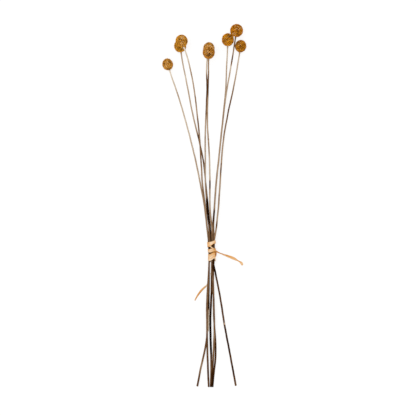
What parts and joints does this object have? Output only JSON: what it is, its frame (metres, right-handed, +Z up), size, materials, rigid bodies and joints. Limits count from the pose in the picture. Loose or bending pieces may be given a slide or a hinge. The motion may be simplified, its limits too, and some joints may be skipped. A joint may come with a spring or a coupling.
{
  "type": "dried flower bouquet",
  "caption": "Lying bunch of dried globe flower heads on long bare stems, tied low down with a strip of raffia.",
  "frame": {"origin": "middle of the bouquet's box, on the surface that it lies on", "axes": "+Y along the bunch from the cut feet to the flower heads, +Z up, +X across"},
  "size_m": [0.1452, 0.63, 0.0404],
  "materials": {
    "flower_head_a": "dry mustard florets, matt",
    "flower_head_b": "dry ochre florets, matt",
    "flower_head_c": "dry mustard florets, matt",
    "flower_head_d": "dry ochre florets, matt",
    "flower_head_e": "dry ochre florets, matt",
    "flower_head_f": "dry ochre florets, matt",
    "flower_head_g": "dry ochre florets, matt",
    "flower_head_h": "dry ochre florets, matt",
    "stem_a": "dry ribbed stem, pale above and dark brown below",
    "stem_b": "dry ribbed stem, pale above and brown below",
    "stem_c": "dry ribbed stem, pale above and dark brown below",
    "stem_d": "dry ribbed stem, pale above and brown below",
    "stem_e": "dry ribbed stem, pale above and near black below",
    "stem_f": "dry ribbed stem, pale above and dark brown below",
    "stem_g": "dry ribbed stem, pale above and light brown below",
    "stem_h": "dry ribbed stem, pale above and brown below",
    "raffia_tie": "natural raffia, cream to orange tan, slight sheen"
  },
  "bodies": {
    "root": {"flower_head_a": "flower_head_a", "flower_head_b": "flower_head_b", "flower_head_c": "flower_head_c", "flower_head_d": "flower_head_d", "flower_head_e": "flower_head_e", "flower_head_f": "flower_head_f", "flower_head_g": "flower_head_g", "flower_head_h": "flower_head_h", "stem_a": "stem_a", "stem_b": "stem_b", "stem_c": "stem_c", "stem_d": "stem_d", "stem_e": "stem_e", "stem_f": "stem_f", "stem_g": "stem_g", "stem_h": "stem_h", "raffia_tie": "raffia_tie"}
  },
  "joints": []
}
